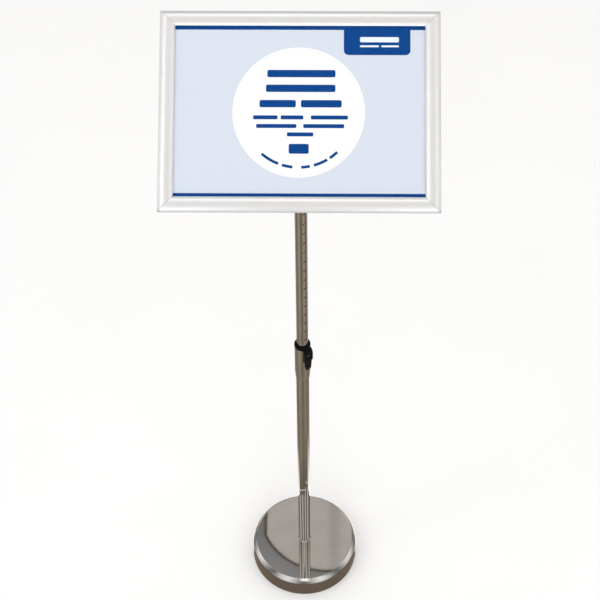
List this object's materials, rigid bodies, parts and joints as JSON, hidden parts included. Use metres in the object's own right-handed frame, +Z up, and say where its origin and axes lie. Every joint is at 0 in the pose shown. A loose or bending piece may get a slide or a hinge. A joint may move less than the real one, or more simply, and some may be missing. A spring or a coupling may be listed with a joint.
{
  "type": "sign stand",
  "caption": "Floor stand with a weighted round base, a telescopic pole with a release lever, and a tilting landscape snap frame for a poster.",
  "frame": {"origin": "centre of the round base, on the floor", "axes": "+Z up along the pole, +X to the viewer's right, -Y towards the viewer: the sign faces -Y and up"},
  "size_m": [0.4498, 0.2766, 1.4783],
  "materials": {
    "polished_steel": "polished",
    "cast_iron": "as cast",
    "zinc_plated_steel": "zinc plated",
    "foam_pad": "matte",
    "black_plastic": "moulded, fine grain",
    "natural_nylon": "moulded",
    "spring_steel": "drawn",
    "black_painted_steel": "powder coated",
    "anodised_aluminium": "satin anodised",
    "white_board": "matte",
    "printed_paper": "matte print",
    "clear_film": "clear, anti-glare"
  },
  "bodies": {
    "stand": {"base_cover": "polished_steel", "cast_weight": "cast_iron", "base_plate": "zinc_plated_steel", "plate_screws": "zinc_plated_steel", "floor_pad": "foam_pad", "foot_bolt": "zinc_plated_steel", "foot_washer": "zinc_plated_steel", "foot_plug": "zinc_plated_steel", "foot_ring": "polished_steel", "lower_tube": "polished_steel", "guide_bush": "natural_nylon", "clamp_liner": "black_plastic", "clamp_sleeve": "polished_steel", "clamp_housing": "black_plastic", "lever_pin": "zinc_plated_steel", "lever_spring": "spring_steel"},
    "lever": {"release_lever": "black_plastic"},
    "pawl": {"lock_pawl": "zinc_plated_steel"},
    "mast": {"upper_tube": "polished_steel", "tube_glide": "black_plastic", "tilt_fork": "black_painted_steel", "tilt_bolt": "zinc_plated_steel", "tilt_nut": "zinc_plated_steel", "bolt_washers": "zinc_plated_steel", "friction_washers": "natural_nylon"},
    "tilt_head": {"tilt_knuckle": "black_painted_steel", "swivel_washer": "natural_nylon", "thrust_washer": "zinc_plated_steel", "swivel_nut": "zinc_plated_steel"},
    "sign": {"back_bar": "zinc_plated_steel", "bar_rivets": "zinc_plated_steel", "base_rail_top": "anodised_aluminium", "base_rail_bottom": "anodised_aluminium", "base_rail_left": "anodised_aluminium", "base_rail_right": "anodised_aluminium", "corner_keys": "zinc_plated_steel", "snap_springs": "spring_steel", "backboard": "white_board", "poster": "printed_paper", "cover_sheet": "clear_film"},
    "snap_top": {"snap_rail_top": "anodised_aluminium"},
    "snap_bottom": {"snap_rail_bottom": "anodised_aluminium"},
    "snap_left": {"snap_rail_left": "anodised_aluminium"},
    "snap_right": {"snap_rail_right": "anodised_aluminium"}
  },
  "joints": [
    {"name": "height_slide", "type": "slide", "parent": "stand", "child": "mast", "axis": [0, 0, 1], "range_m": [-0.55, 0.05]},
    {"name": "lever_pull", "type": "hinge", "parent": "stand", "child": "lever", "pos_m": [0.01145, -0.01466, 0.739], "axis": [-0.788, -0.6157, 0], "range_deg": [0, 20], "stiffness_Nm_per_rad": 0.3, "springref_deg": -17.19},
    {"name": "pawl_lift", "type": "slide", "parent": "stand", "child": "pawl", "axis": [0.6157, -0.788, 0], "range_m": [0, 0.0024]},
    {"name": "sign_tilt", "type": "hinge", "parent": "mast", "child": "tilt_head", "pos_m": [0, 0, 1.359], "axis": [1, 0, 0], "range_deg": [-33, 57]},
    {"name": "sign_turn", "type": "hinge", "parent": "tilt_head", "child": "sign", "pos_m": [0, 0, 1.359], "axis": [0, -0.5446, 0.8387], "range_deg": [0, 90]},
    {"name": "snap_top_open", "type": "hinge", "parent": "sign", "child": "snap_top", "pos_m": [0, 0.11605, 1.47609], "axis": [-1, 0, 0], "range_deg": [0, 90]},
    {"name": "snap_bottom_open", "type": "hinge", "parent": "sign", "child": "snap_bottom", "pos_m": [0, -0.15417, 1.30061], "axis": [1, 0, 0], "range_deg": [0, 90]},
    {"name": "snap_left_open", "type": "hinge", "parent": "sign", "child": "snap_left", "pos_m": [-0.2226, -0.01906, 1.38835], "axis": [0, -0.8387, -0.5446], "range_deg": [0, 90]},
    {"name": "snap_right_open", "type": "hinge", "parent": "sign", "child": "snap_right", "pos_m": [0.2226, -0.01906, 1.38835], "axis": [0, 0.8387, 0.5446], "range_deg": [0, 90]}
  ],
  "couplings": [
    {"joint": "pawl_lift", "follows": "lever_pull", "m_per_rad": 0.0066}
  ]
}
